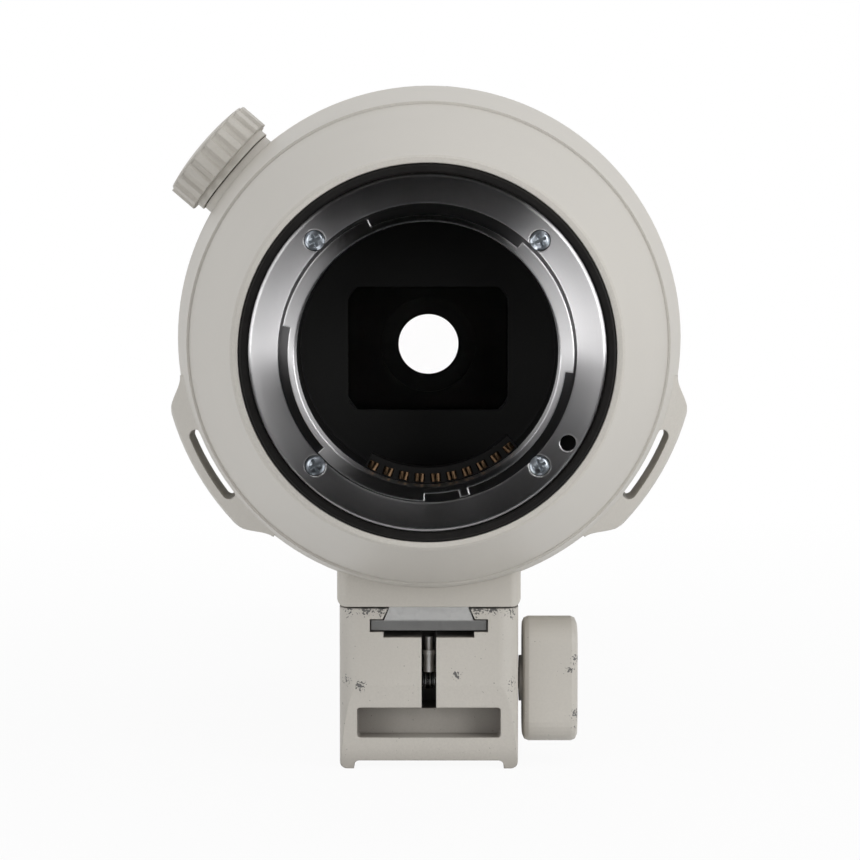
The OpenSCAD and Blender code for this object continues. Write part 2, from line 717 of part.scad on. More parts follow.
module variator_cell() color(dark) follower_cell(variator_y, variator_l, variator_glass_r);
module variator_lens() color(glass_tint) {
    element(variator_glass_r, variator_y + lip_t + glass_gap, variator_y + variator_split, -2.2, -1.6);
    element(variator_glass_r, variator_y + variator_split + 0.4, variator_y + variator_l - 1, 1.8, 2);
}

module compensator_cell() color(dark) follower_cell(compensator_y, compensator_l, compensator_glass_r);
module compensator_lens() color(glass_tint) element(compensator_glass_r,
    on_lip(compensator_y + lip_t, compensator_glass_r, compensator_glass_r - lip, compensator_sag),
    compensator_y + compensator_l - 1, compensator_sag, 2.4);

module focus_rods() color(steel) for (a = rod_clocks) clock(a) translate([rod_circle_r, 0, 0])
    disc(rod_r, web_y0, web_y1 + web_t);

module focus_cell() color(dark) difference() {
    union() {
        cell(web_r + 0.5, focus_glass_r, focus_y, focus_y + focus_cell_l);
        for (a = rod_clocks) clock(a) translate([rod_circle_r, 0, 0]) {
            disc(rod_boss_r, focus_y + 1, focus_y + focus_cell_l - 1);
            translate([-rod_boss_r - 2.2, focus_y + 1, -2]) cube([4, focus_cell_l - 2, 4]);
        }
    }
    for (a = rod_clocks) clock(a) translate([rod_circle_r, 0, 0])
        disc(rod_r + fit, focus_y, focus_y + focus_cell_l);
    disc(focus_glass_r - lip, focus_y - 1, focus_y + focus_cell_l + 1);
    disc(focus_glass_r + seat_gap, focus_y + lip_t, focus_y + focus_cell_l + 1);
}
module focus_lens() color(glass_tint)
    element(focus_glass_r, focus_y + lip_t + glass_gap, focus_y + focus_cell_l - 2, -2, -2.4);

module stabiliser_frame() color("#55565a") tube(guide_r - stabiliser_travel - 0.6, stabiliser_glass_r + 1.5,
    stabiliser_y, stabiliser_y + stabiliser_frame_t);
module stabiliser_cell() color(dark) cell(stabiliser_cell_r, stabiliser_glass_r, stabiliser_cell_y,
    stabiliser_cell_y + stabiliser_cell_l);
module stabiliser_lens() color(glass_tint) element(stabiliser_glass_r,
    on_lip(stabiliser_cell_y + lip_t, stabiliser_glass_r, stabiliser_glass_r - lip, stabiliser_sag),
    stabiliser_cell_y + stabiliser_cell_l, stabiliser_sag, 1.4);

module front_barrel() color(paint) difference() {
    union() {
        revolve([[barrel_in_r - 0.5, y_front0], [front_r - 2.2, y_front0], [front_r - 1.4, y_front0 + 0.8],
            [front_r, y_front0 + 7], [front_r, y_front1 - 9], [front_r - 1, y_front1 - 8.4],
            [front_r - 1, y_front1 - 0.6], [front_r - 1.6, y_front1], [front_bore_r, y_front1],
            [front_bore_r, front_cell_y0], [barrel_in_r - 0.5, front_cell_y0]]);
        for (i = [0:hood_lugs - 1]) ring_part(front_r, front_r - 2, y_front1 - 4.4, y_front1 - 2,
            90 + i * 360 / hood_lugs - 17, 90 + i * 360 / hood_lugs + 17);
    }
    clock(90) translate([front_r + 0.6, y_front1 - 12, 0]) sphere(r = 1.2);
}

module front_lens_cell() color(dark) revolve([[rear_front_glass_r - 2, front_cell_y0],
    [front_cell_r, front_cell_y0], [front_cell_r, front_cell_y1], [front_glass_r + seat_gap, front_cell_y1],
    [front_glass_r + seat_gap, front_step_y], [rear_front_glass_r + seat_gap, front_step_y],
    [rear_front_glass_r + seat_gap, front_cell_y0 + lip_t], [rear_front_glass_r - 2, front_cell_y0 + lip_t]]);

module front_lens() color(glass_tint) {
    element(rear_front_glass_r,
        on_lip(front_cell_y0 + lip_t, rear_front_glass_r, rear_front_glass_r - 2, front_inner_sag),
        front_cell_y0 + front_split, front_inner_sag, 1.6);
    element(front_glass_r,
        on_lip(front_step_y, front_glass_r, rear_front_glass_r + seat_gap, front_rear_sag),
        front_cell_y1 + front_vertex, front_rear_sag, front_sag);
}

// Ring that holds the front element: its skirt reaches down to the rim of the glass
module front_retaining_ring() color(dark) {
    skirt_y = front_cell_y1 + front_vertex - front_sag + gap;
    revolve([[front_glass_r - 1.6, skirt_y], [front_glass_r - 0.1, skirt_y],
        [front_glass_r - 0.1, front_cell_y1], [filter_r - gap, front_cell_y1],
        [filter_r - gap, front_cell_y1 + ring_t],
        [front_glass_r - 0.8, front_cell_y1 + ring_t]]);
}

module filter_ring() color(dark) {
    thread_y = y_front1 - thread_lead - thread_len;
    revolve([[filter_r + thread_relief, front_cell_y1], [front_cell_r, front_cell_y1],
        [front_cell_r, y_front1], [filter_r + thread_lead, y_front1], [filter_r, y_front1 - thread_lead],
        [filter_r, thread_y], [filter_r + thread_relief, thread_y - thread_relief]]);
}

// How far a strap lug has risen at an angle from its middle: a smooth step up at each end
function lug_rise(a) = let (t = min(1, max(0, (lug_span / 2 + lug_blend / 2 - abs(a)) / lug_blend)))
    t * t * (3 - 2 * t);
function lug_point(a) = (collar_r - lug_root + (lug_reach + lug_root) * lug_rise(a)) * [cos(a), sin(a)];
// Outline of a strap lug: an arc round the collar that swells out of it at both ends
module lug_outline() {
    half = (lug_span + lug_blend) / 2;
    ends = [for (k = [0:lug_steps]) half - lug_blend * k / lug_steps];
    over_r = collar_r + 2 * lug_reach;
    intersection() {
        circle(r = collar_r + lug_reach);
        polygon(concat([[0, 0]], [for (a = ends) lug_point(-a)],
            [for (s = [-1:1]) over_r * [cos(s * lug_span / 4), sin(s * lug_span / 4)]],
            [for (k = [lug_steps:-1:0]) lug_point(ends[k])]));
    }
}
// Turned form of the lugs along the barrel: a ramp up behind, a flat crown, a ramp down in front
module lug_swell() {
    root_r = collar_bore_r + 0.5;
    crown_r = collar_r + lug_reach;
    revolve([[root_r, lug_y0 - lug_ramp], [crown_r - lug_ease, lug_y0 + 2 * lug_ease],
        [crown_r + eps, lug_y0 + 6 * lug_ease], [crown_r + eps, lug_y0 + lug_w - 5 * lug_ease],
        [crown_r - lug_ease, lug_y0 + lug_w - lug_ease], [root_r, lug_y0 + lug_w + lug_ramp]]);
}
// Outline of a strap slot: an arc with round ends
module slot_outline() {
    mid = strap_slot_r + strap_slot_w / 2;
    end = strap_slot_span / 2 - strap_slot_w / 2 / mid * 180 / PI;
    intersection() {
        difference() {
            circle(r = strap_slot_r + strap_slot_w);
            circle(r = strap_slot_r);
        }
        pie(2 * collar_r, -end, end);
    }
    for (s = [-1, 1]) rotate(s * end) translate([mid, 0]) circle(r = strap_slot_w / 2);
}

module tripod_collar() color(paint) difference() {
    union() {
        revolve([[collar_bore_r - 2, cover_len + collar_seam], [collar_rear_r, cover_len + collar_seam],
            [collar_r - 0.5, y_collar0 + collar_taper - 3], [collar_r, y_collar0 + collar_taper + 2],
            [collar_r, y_collar1 - collar_chamfer], [collar_r - collar_chamfer, y_collar1],
            [collar_bore_r - 2, y_collar1]]);
        intersection() {
            plate(stem_y0, stem_y1) {
                translate([-stem_w / 2, -foot_drop + stem_round])
                    square([stem_w, foot_drop - stem_round - collar_bore_r + 10]);
                translate([0, -foot_drop + 5]) rounded(stem_w, 10, stem_round);
            }
            translate([0, (stem_y0 + stem_y1) / 2, -foot_drop - 1]) linear_extrude(foot_drop)
                rounded(stem_w, stem_y1 - stem_y0, stem_corner);
        }
        intersection() {
            plate(lug_y0 - lug_ramp, lug_y0 + lug_w + lug_ramp) for (a = lug_clocks) rotate(a) lug_outline();
            lug_swell();
        }
        radial(knob_clock, knob_y, collar_bore_r + 1, collar_r + knob_boss_h, knob_boss_r);
    }
    disc(collar_bore_r, y_collar0 - 1, y_collar1 + 1);
    plate(y_collar0 + 1, y_collar1 + 1) for (a = lug_clocks) rotate(a) slot_outline();
    radial(knob_clock, knob_y, collar_bore_r - 3, collar_r + 8, lock_screw_r + fit);
    for (s = dovetail_holes()) translate([s[0], s[1], -foot_drop - 1])
        cylinder(r = dovetail_screw_r + seat_gap, h = 6);
}

// Places of the screws that hold the dovetail plate, as [x, y]
function dovetail_holes() = [for (x = [-1, 1], y = [8, clamp_len - 8]) [x * neck_w0 / 3, stem_y0 + y]];

module dovetail_plate() color("#9a9a98") difference() {
    plate(stem_y0 + 0.5, stem_y0 + clamp_len) polygon([[-neck_w0 / 2, dovetail_top],
        [-neck_w1 / 2, dovetail_top - neck_h], [-dovetail_w / 2, dovetail_top - neck_h],
        [-dovetail_w / 2, dovetail_top - neck_h - plate_h], [dovetail_w / 2, dovetail_top - neck_h - plate_h],
        [dovetail_w / 2, dovetail_top - neck_h], [neck_w1 / 2, dovetail_top - neck_h],
        [neck_w0 / 2, dovetail_top]]);
    for (s = dovetail_holes()) translate([s[0], s[1], dovetail_top - 10]) {
        cylinder(r = dovetail_screw_r + seat_gap, h = 12);
        cylinder(r = 2 * dovetail_screw_r, h = 10 - neck_h - plate_h + 1.7);
    }
}

module dovetail_screws() color(steel) for (s = dovetail_holes()) difference() {
    union() {
        translate([s[0], s[1], dovetail_top - neck_h - plate_h + 0.1])
            cylinder(r = 2 * dovetail_screw_r - seat_gap, h = 1.6);
        translate([s[0], s[1], dovetail_top - neck_h - plate_h + 1])
            cylinder(r = dovetail_screw_r, h = neck_h + plate_h + 3.5);
    }
    translate([s[0], s[1], dovetail_top - neck_h - plate_h - 1])
        cylinder(r = dovetail_screw_r * 0.8, h = 2, $fn = 6);
}

module collar_knob() color(paint) clock(knob_clock) translate([0, knob_y, 0]) rotate([0, 90, 0]) union() {
    translate([0, 0, knob_in]) cylinder(r = knob_r - 1.2, h = knob_skirt + 0.2);
    translate([0, 0, knob_in + knob_skirt]) linear_extrude(knob_band) ribbed(knob_r - 0.7, knob_r, knob_ribs);
    translate([0, 0, knob_in + knob_skirt + knob_band - eps]) rotate_extrude() polygon(concat(
        [[0, 0], [knob_r - 0.6, 0]], [for (k = [lens_steps:-1:0]) [(knob_r - 0.6) * k / lens_steps,
            knob_rim + knob_dome * (1 - pow(k / lens_steps, 2.6))]]));
}

module collar_lock_screw() color(steel) clock(knob_clock) translate([0, knob_y, 0]) rotate([0, 90, 0]) {
    tip = sleeve_r + lock_pad_gap;
    translate([0, 0, tip]) cylinder(r = lock_screw_r - 0.6, h = 1);
    translate([0, 0, tip + 0.9]) cylinder(r = lock_screw_r, h = knob_in - tip - 0.9);
}

// Jaws of the foot seen from behind, with a slot for the dovetail plate and rails below
module foot_jaws() difference() {
    union() {
        translate([-foot_w / 2, foot_base + rail_edge]) square([foot_w, foot_h - rail_edge]);
        translate([-foot_w / 2 + rail_edge, foot_base]) square([foot_w - 2 * rail_edge, rail_edge + 1]);
        for (s = [-1, 1]) translate([s * (foot_w / 2 - rail_edge), foot_base + rail_edge])
            circle(r = rail_edge, $fn = 32);
    }
    polygon([[-neck_w0 / 2 - jaw_gap, foot_top + 1], [-neck_w0 / 2 - jaw_gap, foot_top],
        [-neck_w1 / 2 - jaw_gap, dovetail_top - neck_h + jaw_gap],
        [-dovetail_w / 2 - jaw_gap, dovetail_top - neck_h + jaw_gap], [-dovetail_w / 2 - jaw_gap, slot_floor],
        [dovetail_w / 2 + jaw_gap, slot_floor], [dovetail_w / 2 + jaw_gap, dovetail_top - neck_h + jaw_gap],
        [neck_w1 / 2 + jaw_gap, dovetail_top - neck_h + jaw_gap], [neck_w0 / 2 + jaw_gap, foot_top],
        [neck_w0 / 2 + jaw_gap, foot_top + 1]]);
    translate([-relief_w / 2, slot_floor - relief_h]) square([relief_w, relief_h + 1]);
    translate([-foot_w / 2 + rail_w + rail_round, foot_base - 1])
        square([foot_w - 2 * rail_w - 2 * rail_round, rail_h + 1]);
    translate([-foot_w / 2 + rail_w, foot_base - 1])
        square([foot_w - 2 * rail_w, rail_h - rail_round + 1]);
    for (s = [-1, 1]) translate([s * (foot_w / 2 - rail_w - rail_round), foot_base + rail_h - rail_round])
        circle(r = rail_round, $fn = 32);
}

// Side view of the foot: clamp block, sweep down to the base plate and rounded nose
module foot_side() polygon(concat(
    [[foot_y0, foot_top], [foot_y0, crease_z], [foot_y0 + rear_slope, foot_base]],
    arc([foot_y1 - nose, foot_base + nose], nose, 270, 360),
    arc([foot_y1 - nose, base_top - nose], nose, 0, 90),
    arc([foot_y0 + clamp_len + throat_fillet, base_top + throat_fillet], throat_fillet, 270, 180),
    [[foot_y0 + clamp_len, foot_top]]));

module foot() color("#bcb7b0") difference() {
    intersection() {
        plate(foot_y0 - 1, foot_y1 + 1) foot_jaws();
        side_plate(-foot_w, foot_w) foot_side();
        translate([0, (foot_y0 + foot_y1) / 2, foot_base - 1]) linear_extrude(foot_h + 2)
            rounded(foot_w, foot_len, foot_corner);
    }
    plate(foot_y0 - 1, foot_y0 + pocket_d) translate([0, pocket_z + pocket_h / 2])
        rounded(pocket_w, pocket_h, pocket_round);
    translate([-slit_w / 2, foot_y0 - 1, pocket_z + pocket_h - 1])
        cube([slit_w, slit_d + 1, slot_floor - pocket_z - pocket_h + 1]);
    translate([-foot_w / 2 + 4, screw_y, screw_z]) rotate([0, 90, 0])
        cylinder(r = clamp_screw_r + fit, h = foot_w);
    translate([0, small_thread_y, foot_base - 1]) cylinder(r = small_thread_r, h = thread_depth + rail_h + 1);
    translate([0, large_thread_y, foot_base - 1]) cylinder(r = large_thread_r, h = thread_depth + rail_h + 1);
}

// Stop pin in the slit above the clamp screw: body, collar and a thinner shaft up to the dovetail
module foot_stop_pin() color(steel) translate([0, stop_pin_y, screw_z + clamp_screw_r + gap / 2]) {
    pin_h = slot_floor - relief_h - gap - screw_z - clamp_screw_r - gap / 2;
    cylinder(r = stop_pin_r - 0.1, h = 0.55 * pin_h);
    translate([0, 0, 0.5 * pin_h]) cylinder(r = stop_pin_r + 0.1, h = 0.8);
    cylinder(r = stop_pin_r - 0.4, h = pin_h);
}

// Flat wing knob: a rounded bar that steps in at its faces
module foot_knob() color(paint) union() {
    hull() {
        translate([wing_in, screw_y, screw_z]) wing_slice(wing_edge, wing_t);
        translate([wing_in + 0.3 * wing_edge, screw_y, screw_z])
            wing_slice(0.3 * wing_edge, wing_t - 0.6 * wing_edge);
        translate([wing_in + wing_edge, screw_y, screw_z]) wing_slice(0, wing_t - 2 * wing_edge);
    }
    translate([foot_w / 2 + gap, screw_y, screw_z]) rotate([0, 90, 0]) cylinder(r = wing_neck_r, h = 2);
}
module wing_slice(inset, t) rotate([90, 0, 90]) linear_extrude(t) hull()
    for (x = [-1, 1], y = [-1, 1]) translate([x * (wing_w / 2 - wing_round), y * (wing_l / 2 - wing_round)])
        circle(r = wing_round - inset, $fn = 32);

module foot_clamp_screw() color(steel) translate([-foot_w / 2 + 5, screw_y, screw_z]) rotate([0, 90, 0])
    cylinder(r = clamp_screw_r, h = foot_w - 5 + gap);

mount_ring();
mount_screws();
mount_seal();
contact_block();
contact_pins();
rear_baffle();
rear_cover();
circuit_board();
rear_lens_cell();
rear_lens();
iris_housing();
collar_sleeve();
mid_barrel();
switch_plate();
button_band();
guide_tube();
focus_rods();
front_barrel();
front_lens_cell();
front_lens();
front_retaining_ring();
filter_ring();
tripod_collar();
dovetail_plate();
dovetail_screws();
collar_knob();
collar_lock_screw();
foot();
foot_stop_pin();
foot_knob();
foot_clamp_screw();
zoom_ring();
zoom_grip();
cam_tube();
zoom_key();
focus_ring();
focus_grip();
variator_cell();
variator_lens();
compensator_cell();
compensator_lens();
focus_cell();
focus_lens();
stabiliser_frame();
stabiliser_cell();
stabiliser_lens();
iris_ring();
iris_blade(0);  // iris_blade_1
iris_blade(1);  // iris_blade_2
iris_blade(2);  // iris_blade_3
iris_blade(3);  // iris_blade_4
iris_blade(4);  // iris_blade_5
iris_blade(5);  // iris_blade_6
slider(0);  // focus_mode_switch
slider(1);  // focus_limit_switch
slider(2);  // stabiliser_switch
slider(3);  // stabiliser_mode_switch
hold_button(0);  // hold_button_right
hold_button(1);  // hold_button_top
hold_button(2);  // hold_button_left
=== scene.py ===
"""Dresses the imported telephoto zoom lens: finishes, printed marks, studio light and camera.

Everything is in metres, in the frame of the solids: the mount's seat plane is y = 0, +Y runs forward
along the optical axis, +X is to the right seen from behind and +Z is up. A clock angle is
counter-clockwise seen from behind, in degrees, with 0 at +X.
"""
import json
import math

import bpy
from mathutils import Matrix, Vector

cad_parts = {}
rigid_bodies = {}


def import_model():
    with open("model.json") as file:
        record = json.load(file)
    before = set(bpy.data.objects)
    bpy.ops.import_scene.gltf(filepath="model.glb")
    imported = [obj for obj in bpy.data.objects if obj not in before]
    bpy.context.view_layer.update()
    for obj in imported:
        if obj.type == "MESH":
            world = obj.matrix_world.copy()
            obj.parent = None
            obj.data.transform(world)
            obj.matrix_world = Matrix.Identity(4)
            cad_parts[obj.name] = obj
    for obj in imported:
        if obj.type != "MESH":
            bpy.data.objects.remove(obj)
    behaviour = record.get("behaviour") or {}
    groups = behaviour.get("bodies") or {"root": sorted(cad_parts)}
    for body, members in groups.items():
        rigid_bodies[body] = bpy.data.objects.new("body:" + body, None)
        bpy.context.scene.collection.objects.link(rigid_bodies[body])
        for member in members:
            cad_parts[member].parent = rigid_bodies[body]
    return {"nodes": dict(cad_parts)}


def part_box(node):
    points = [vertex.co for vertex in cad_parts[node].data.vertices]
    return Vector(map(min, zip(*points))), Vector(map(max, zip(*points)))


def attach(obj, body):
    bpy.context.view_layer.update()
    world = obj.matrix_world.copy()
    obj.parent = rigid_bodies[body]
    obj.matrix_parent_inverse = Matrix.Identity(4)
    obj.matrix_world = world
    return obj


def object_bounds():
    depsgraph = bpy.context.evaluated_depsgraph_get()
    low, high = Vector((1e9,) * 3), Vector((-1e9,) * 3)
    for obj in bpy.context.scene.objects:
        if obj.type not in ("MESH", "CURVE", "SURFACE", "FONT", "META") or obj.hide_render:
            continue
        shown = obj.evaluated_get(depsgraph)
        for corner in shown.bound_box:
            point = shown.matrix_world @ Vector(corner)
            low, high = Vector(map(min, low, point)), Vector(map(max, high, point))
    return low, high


MM = 0.001

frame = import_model()
nodes = frame["nodes"]
cad_box = [list(corner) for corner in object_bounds()]


# Colours, as linear RGB

WHITE = (1.0, 1.0, 1.0)
PAINT = (0.615, 0.585, 0.533)
FOOT_PAINT = (0.602, 0.573, 0.523)
# Colour of the painted shade in corners and recesses
RECESS_SHADE = (0.25, 0.228, 0.205)
CHIPPED_METAL = (0.17, 0.165, 0.16)
ALUMINIUM = (0.80, 0.80, 0.79)
MOUNT_STEEL = (0.95, 0.94, 0.95)
PIN_STEEL = (0.82, 0.81, 0.80)
THREAD_STEEL = (0.92, 0.91, 0.90)
ZINC = (0.62, 0.68, 0.74)
GOLD = (0.09, 0.057, 0.033)
BLACK = (0.0055, 0.0052, 0.0050)
ANODISED_BLACK = (0.008, 0.008, 0.0082)
BLADE_BLACK = (0.005, 0.005, 0.005)
THREAD_BLACK = (0.02, 0.02, 0.021)
FLAG_BLACK = (0.0, 0.0, 0.0)
GRIP_RUBBER = (0.015, 0.0138, 0.013)
SEAL_RUBBER = (0.0085, 0.0075, 0.007)
PANEL_GREY = (0.52, 0.50, 0.468)
BUTTON_GREY = (0.40, 0.385, 0.36)
BOARD_GREEN = (0.02, 0.09, 0.045)
GLASS_HAZE = (0.985, 0.99, 0.985)
INK = (0.03, 0.029, 0.029)
FLOOR_GREY = (0.82, 0.82, 0.82)
SKY = (0.95, 0.97, 1.0)

# Noise scales, in cells per metre

PEBBLE_SCALE = 2400
MOTTLE_SCALE = 28
FLECK_SCALE = 2600
TURNED_RING_SCALE = 9000
SMUDGE_SCALE = 90
THREAD_SCUFF_SCALE = 1500
SCUFF_SCALE = 1800
MOULD_GRAIN_SCALE = 3200
ANODISED_GRAIN_SCALE = 5200
RUBBER_GRAIN_SCALE = 5200
DUST_SCALE = 420
HAZE_SCALE = 55

# Tones, as factors on a finish's own colour

MOTTLE_TONES = (0.965, 1.02)
PEBBLE_TONE = 0.95
RING_TONE = 0.92
# Painted shade of the mount's groove, and darker still of its pin and screw holes
GROOVE_SHADE_TONE = 0.2
HOLE_SHADE_TONE = 0.03
# Painted shade in the roots of threads
THREAD_ROOT_SHADE = 0.35
SCUFF_TONE = 0.92
PLATE_TONE = 0.36
GRAIN_TONES = (0.8, 1.15)
DUST_TONE = 1.7

# What fine detail adds to a finish's roughness

SMUDGE_ROUGHNESS = 0.03
THREAD_ROUGHNESS = 0.1
SCUFF_ROUGHNESS = 0.12
GRAIN_ROUGHNESS = (-0.06, 0.08)

# Radii of edges that are rounded in the shading

PAINT_EDGE = 0.35 * MM
MOUNT_EDGE = 0.36 * MM
METAL_EDGE = 0.12 * MM
MOULD_EDGE = 0.2 * MM
EDGE_SAMPLES = 4

# Other measures of the finishes

NOISE_BAND = (0.3, 0.7)  # most of a noise lies in here
SCUFF_STRETCH = (1, 0.15, 1)
# Reach and samples of the painted shade in corners and recesses
RECESS_SHADE_REACH = 8 * MM
RECESS_SHADE_SAMPLES = 16
INWARD_TURN = (-0.3, -0.4)  # outward part of a normal where the black of a bore starts and is full
CHIP_PULL = 0.34  # what a chip's middle adds to the ragged noise
CHIP_EDGE = (0.70, 0.74)  # that sum where the paint starts to go and is gone
CHIP_METALLIC = 0.7
SPIGOT_R = 21.5 * MM
RELIEF_DEPTH = 1.7 * MM
GROOVE_SHADE_DEPTHS = (0.15 * MM, 0.6 * MM)  # depths from the seat plane where the painted shade starts and is full
HOLE_SHADE_DEPTHS = (RELIEF_DEPTH + 0.05 * MM, RELIEF_DEPTH + 0.2 * MM)
RING_DETAIL = 2.0
RADIAL_TURN = 0.25  # a quarter turn, from along the rings to along the radius
CLAMP_PITCH = 0.8 * MM
FILTER_PITCH = 0.75 * MM
PLATE_TONE_HEIGHTS = (1.6 * MM, 2.0 * MM)  # heights on the plate where the darker tone starts to fade and ends
FILM_NM = 355.0
FILM_IOR = 1.06
CLEAR_IOR = 1.001  # so close to air that light isn't bent

# Paint chips in mm: x on the foot or inset from the wing's outer edge, drop below the top edge, reach

FOOT_CHIPS = ((-15, 0, 2.6), (-11, 0, 2.4), (-8.5, 0, 2), (8.5, 0, 2.4), (11.5, 0, 2), (15, 0, 2.8),
              (-15.5, 13, 2.2), (-12.5, 14, 1.6), (5, 12, 1.4), (15.8, 14, 2.4))
WING_CHIPS = ((0, 7, 1.8), (0, 17, 2), (0, 20, 1.6), (1.5, 9, 1.2), (0, 2, 1.2))

# Sockets of a Mix node that blends colours
MIX_FACTOR, MIX_A, MIX_B, MIX_RESULT = 0, 6, 7, 2

# Corners of a square of side 2
SQUARE = ((-1, -1), (1, -1), (1, 1), (-1, 1))


class Wiring:
    """A node tree and the helpers that add nodes to it and link them."""

    def __init__(self, tree):
        self.tree = tree

    def feed(self, socket, value):
        """Links a socket to another, or sets it to a constant."""
        if isinstance(value, bpy.types.NodeSocket):
            self.tree.links.new(value, socket)
        else:
            socket.default_value = value

    def add(self, kind, inputs=None, **settings):
        node = self.tree.nodes.new(kind)
        for key, value in settings.items():
            setattr(node, key, value)
        for socket, value in (inputs or {}).items():
            self.feed(node.inputs[socket], value)
        return node

    def math(self, operation, a, b=0.0):
        return self.add("ShaderNodeMath", {0: a, 1: b}, operation=operation).outputs["Value"]

    def vector(self, operation, a, b=(0.0, 0.0, 0.0)):
        """The outputs of a vector operation: Vector, or Value where it gives a number."""
        return self.add("ShaderNodeVectorMath", {0: a, 1: b}, operation=operation).outputs

    def remap(self, value, low, high, to_low=0.0, to_high=1.0):
        span = {"From Min": low, "From Max": high, "To Min": to_low, "To Max": to_high}
        return self.add("ShaderNodeMapRange", {"Value": value, **span}).outputs["Result"]

    def background_rays(self):
        """1 for rays that should see the white background: from the camera, mirrored or let through."""
        path = self.add("ShaderNodeLightPath").outputs
        seen = self.math("MAXIMUM", path["Is Camera Ray"], path["Is Glossy Ray"])
        return self.math("MAXIMUM", seen, path["Is Transmission Ray"])

    def show(self, output, factor, first, second):
        """Ends the tree in a blend of two shaders."""
        blend = self.add("ShaderNodeMixShader", {"Fac": factor, 1: first, 2: second})
        self.feed(self.tree.nodes[output].inputs["Surface"], blend.outputs["Shader"])


class Finish(Wiring):
    """A Principled material and the helpers that give it procedural detail."""

    def __init__(self, name, color, roughness, metallic=0.0):
        self.material = bpy.data.materials.new(name)
        self.material.use_nodes = True
        super().__init__(self.material.node_tree)
        self.shader = self.tree.nodes["Principled BSDF"]
        self.put("Base Color", (*color, 1.0))
        self.put("Roughness", roughness)
        self.put("Metallic", metallic)
        self.place = self.add("ShaderNodeTexCoord").outputs["Object"]
        self.normal = None

    def put(self, socket, value):
        self.feed(self.shader.inputs[socket], value)

    def color_so_far(self):
        return self.shader.inputs["Base Color"].links[0].from_socket

    def coordinate(self, axis):
        return self.add("ShaderNodeSeparateXYZ", {"Vector": self.place}).outputs[axis]

    def from_axis(self):
        """The vector from the optical axis, square to it."""
        return self.vector("MULTIPLY", self.place, (1.0, 0.0, 1.0))["Vector"]

    def axis_radius(self):
        return self.vector("LENGTH", self.from_axis())["Value"]

    def near(self, centre, reach):
        """1 at a point, falling to 0 at that reach."""
        distance = self.vector("DISTANCE", self.place, centre)["Value"]
        return self.remap(distance, low=0.0, high=reach, to_low=1.0, to_high=0.0)

    def noise(self, scale, detail, stretch=None):
        """Noise with so many cells per metre, longer along an axis where stretch is below 1."""
        place = self.place
        if stretch:
            place = self.add("ShaderNodeMapping", {"Vector": place, "Scale": stretch}).outputs["Vector"]
        node = self.add("ShaderNodeTexNoise", {"Vector": place, "Scale": scale, "Detail": detail})
        return node.outputs["Fac"]

    def mix(self, factor, a, b):
        """Blends two colours, given as RGB or as sockets."""
        node = self.add("ShaderNodeMix", data_type="RGBA")
        for index, value in ((MIX_FACTOR, factor), (MIX_A, a), (MIX_B, b)):
            self.feed(node.inputs[index], (*value, 1.0) if isinstance(value, tuple) else value)
        return node.outputs[MIX_RESULT]

    def bump(self, height, strength, depth):
        """Adds relief of about that depth over what is there already."""
        inputs = {"Height": height, "Strength": strength, "Distance": depth}
        if self.normal:
            inputs["Normal"] = self.normal
        self.normal = self.add("ShaderNodeBump", inputs).outputs["Normal"]
        self.put("Normal", self.normal)

    def soften(self, radius):
        """Rounds the sharp edges in the shading."""
        bevel = self.add("ShaderNodeBevel", {"Radius": radius}, samples=EDGE_SAMPLES)
        self.normal = bevel.outputs["Normal"]
        self.put("Normal", self.normal)


def shade(color, factor):
    return tuple(channel * factor for channel in color)


def painted(name, color):
    """Sprayed enamel with a fine pebble, a faint mottle and soft edges."""
    f = Finish(name, color, roughness=0.5)
    f.soften(PAINT_EDGE)
    pebble = f.noise(PEBBLE_SCALE, detail=1.5)
    mottle = f.noise(MOTTLE_SCALE, detail=3)
    dull, fresh = (shade(color, tone) for tone in MOTTLE_TONES)
    mottled = f.mix(f.remap(mottle, *NOISE_BAND), dull, fresh)
    f.put("Base Color", f.mix(f.remap(pebble, low=0.35, high=0.65), shade(color, PEBBLE_TONE), mottled))
    f.put("Roughness", f.remap(pebble, *NOISE_BAND, to_low=0.44, to_high=0.56))
    f.bump(pebble, strength=0.35, depth=0.03 * MM)
    return f


def lined(f):
    """Blackens the faces that look in at the optical axis, as the bore of a barrel is."""
    outward = f.vector("NORMALIZE", f.from_axis())["Vector"]
    facing = f.add("ShaderNodeNewGeometry").outputs["True Normal"]
    turn = f.vector("DOT_PRODUCT", facing, outward)["Value"]
    f.put("Base Color", f.mix(f.remap(turn, *INWARD_TURN), f.color_so_far(), BLACK))
    return f


def shade_recesses(f):
    """Painted shade: darkens the corners and recesses by how shut in they are."""
    shelter = f.add("ShaderNodeAmbientOcclusion", {"Distance": RECESS_SHADE_REACH}, samples=RECESS_SHADE_SAMPLES)
    unshaded = f.remap(shelter.outputs["AO"], low=0.15, high=0.75)
    f.put("Base Color", f.mix(unshaded, RECESS_SHADE, f.color_so_far()))


def chip(f, spots):
    """Knocks the paint off to the bare metal in ragged flecks near spots, each (centre, reach)."""
    ragged = f.noise(FLECK_SCALE, detail=6)
    closeness = 0.0
    for centre, reach in spots:
        closeness = f.math("MAXIMUM", f.near(centre, reach), closeness)
    wear = f.math("ADD", f.math("MULTIPLY", closeness, CHIP_PULL), ragged)
    bare = f.remap(wear, *CHIP_EDGE)
    f.put("Base Color", f.mix(bare, f.color_so_far(), CHIPPED_METAL))
    f.put("Metallic", f.math("MULTIPLY", bare, CHIP_METALLIC))
    f.bump(bare, strength=0.5, depth=-0.06 * MM)


